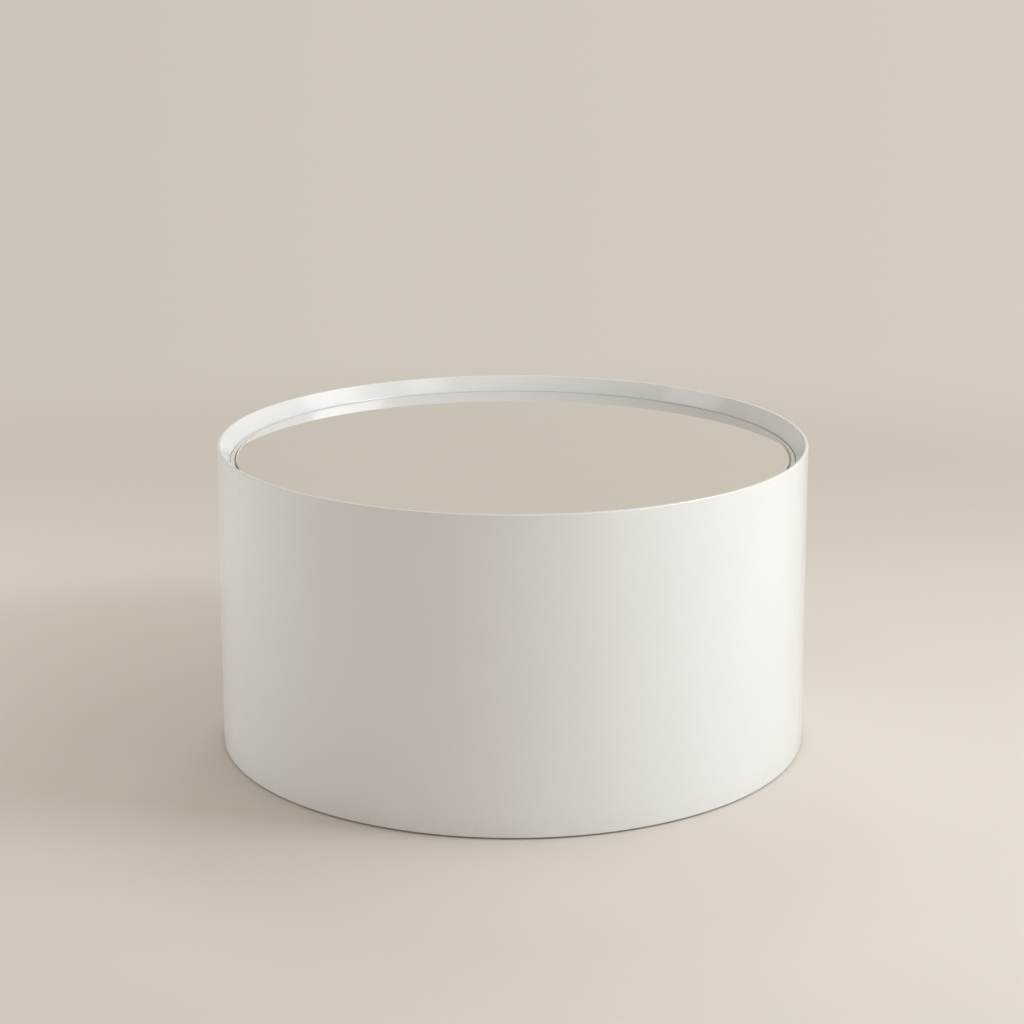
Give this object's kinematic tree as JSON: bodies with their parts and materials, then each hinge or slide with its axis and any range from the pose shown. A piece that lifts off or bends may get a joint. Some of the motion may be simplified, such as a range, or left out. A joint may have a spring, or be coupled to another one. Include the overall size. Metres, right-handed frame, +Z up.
{
  "type": "coffee table",
  "caption": "Low round drum coffee table in white gloss lacquer, with a loose mirror laid inside a sloped rim and levelling feet under a hollow battened drum.",
  "frame": {"origin": "on the floor, at the centre of the drum", "axes": "+Z up along the drum's axis; +X and +Y across the drum, along the two deck rails"},
  "size_m": [0.8, 0.8, 0.415],
  "materials": {
    "white_lacquer": "white polyester gloss lacquer on bent board",
    "deck_lacquer": "white lacquer on fibreboard",
    "mirror": "silvered float glass with a polished edge",
    "fibreboard": "raw sawn fibreboard",
    "softwood": "planed pine",
    "silicone": "clear soft silicone",
    "zinc_steel": "zinc-plated steel",
    "nylon": "moulded nylon"
  },
  "bodies": {
    "drum": {"drum_shell": "white_lacquer", "deck_panel": "deck_lacquer", "trim_ring": "deck_lacquer", "top_former": "fibreboard", "middle_former": "fibreboard", "base_former": "fibreboard", "deck_rail_upper": "fibreboard", "deck_rail_lower": "fibreboard", "batten_1": "softwood", "batten_2": "softwood", "batten_3": "softwood", "batten_4": "softwood", "batten_5": "softwood", "batten_6": "softwood", "batten_7": "softwood", "batten_8": "softwood", "mirror_pad_1": "silicone", "mirror_pad_2": "silicone", "mirror_pad_3": "silicone", "mirror_pad_4": "silicone", "mirror_pad_5": "silicone", "mirror_pad_6": "silicone", "mirror_pad_7": "silicone", "mirror_pad_8": "silicone", "deck_screw_1": "zinc_steel", "deck_screw_2": "zinc_steel", "deck_screw_3": "zinc_steel", "deck_screw_4": "zinc_steel", "deck_screw_5": "zinc_steel", "deck_screw_6": "zinc_steel", "deck_screw_7": "zinc_steel", "deck_screw_8": "zinc_steel", "t_nut_1": "zinc_steel", "t_nut_2": "zinc_steel", "t_nut_3": "zinc_steel", "t_nut_4": "zinc_steel"},
    "mirror": {"mirror_top": "mirror"},
    "foot_1": {"foot_sole_1": "nylon", "foot_stud_1": "zinc_steel"},
    "foot_2": {"foot_sole_2": "nylon", "foot_stud_2": "zinc_steel"},
    "foot_3": {"foot_sole_3": "nylon", "foot_stud_3": "zinc_steel"},
    "foot_4": {"foot_sole_4": "nylon", "foot_stud_4": "zinc_steel"}
  },
  "joints": [
    {"name": "mirror_lift", "type": "slide", "parent": "drum", "child": "mirror", "axis": [0, 0, 1], "range_m": [0, 0.12]},
    {"name": "foot_1_adjust", "type": "slide", "parent": "drum", "child": "foot_1", "axis": [0, 0, -1], "range_m": [0, 0.012]},
    {"name": "foot_2_adjust", "type": "slide", "parent": "drum", "child": "foot_2", "axis": [0, 0, -1], "range_m": [0, 0.012]},
    {"name": "foot_3_adjust", "type": "slide", "parent": "drum", "child": "foot_3", "axis": [0, 0, -1], "range_m": [0, 0.012]},
    {"name": "foot_4_adjust", "type": "slide", "parent": "drum", "child": "foot_4", "axis": [0, 0, -1], "range_m": [0, 0.012]}
  ]
}
